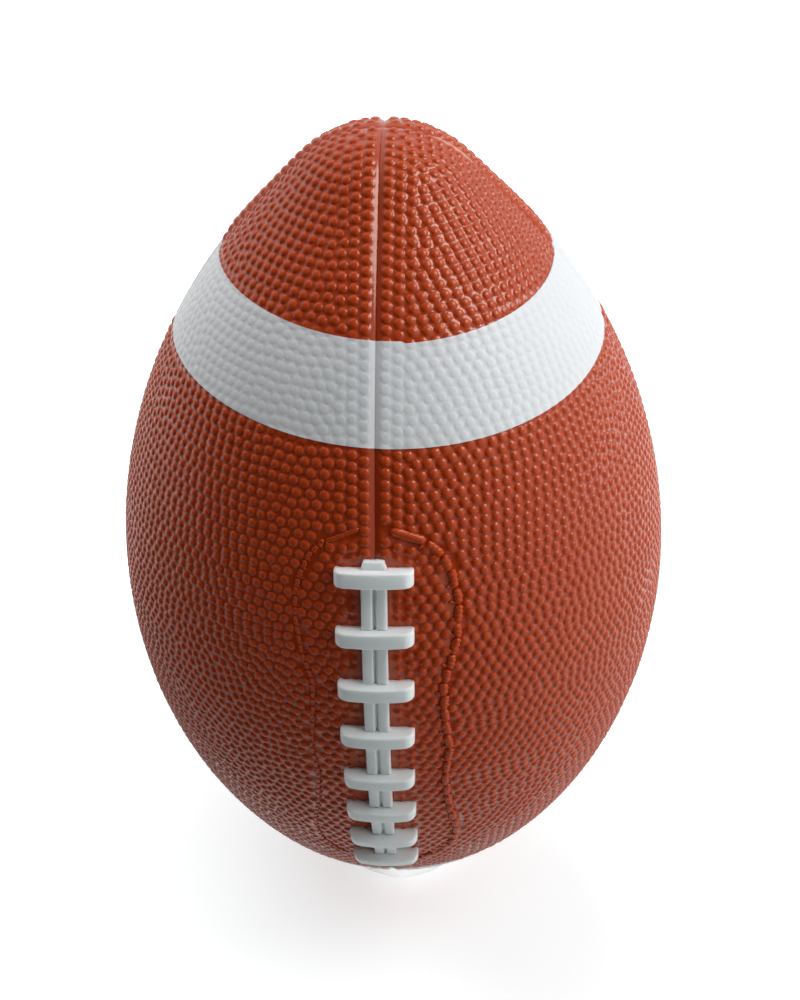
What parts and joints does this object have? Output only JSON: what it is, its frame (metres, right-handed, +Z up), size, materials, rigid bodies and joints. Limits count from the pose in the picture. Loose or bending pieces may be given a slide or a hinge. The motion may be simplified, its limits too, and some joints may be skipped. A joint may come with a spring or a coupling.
{
  "type": "football on a ring stand",
  "caption": "Moulded rubber football with pebbled panels, white bands and a raised lace, standing on one tip in a low white ring stand.",
  "frame": {"origin": "centre of the ring stand's flat base, on the floor", "axes": "+Z up along the ball's long axis, -Y towards the laced seam, +X to the right as seen facing the lace"},
  "size_m": [0.168, 0.1721, 0.2815],
  "materials": {
    "cover_rubber": "pebbled, satin orange-brown",
    "stripe_film": "satin white film",
    "lace_vinyl": "satin pale grey-white",
    "stand_plastic": "glossy white",
    "bladder_rubber": "matt black",
    "winding_thread": "wound nylon thread",
    "valve_rubber": "matt dark"
  },
  "bodies": {
    "stand": {"stand_ring": "stand_plastic"},
    "ball": {"bladder": "bladder_rubber", "carcass_winding": "winding_thread", "valve_housing": "valve_rubber", "valve_core": "valve_rubber", "panel_front_left": "cover_rubber", "panel_front_right": "cover_rubber", "panel_back_left": "cover_rubber", "panel_back_right": "cover_rubber", "stripe_band_upper": "stripe_film", "stripe_band_lower": "stripe_film", "lace_spine": "lace_vinyl", "lace_bar_1": "lace_vinyl", "lace_bar_2": "lace_vinyl", "lace_bar_3": "lace_vinyl", "lace_bar_4": "lace_vinyl", "lace_bar_5": "lace_vinyl", "lace_bar_6": "lace_vinyl", "lace_bar_7": "lace_vinyl", "lace_bar_8": "lace_vinyl"}
  },
  "joints": [
    {"name": "ball_lift", "type": "slide", "parent": "stand", "child": "ball", "axis": [0, 0, 1], "range_m": [0, 0.12]}
  ]
}
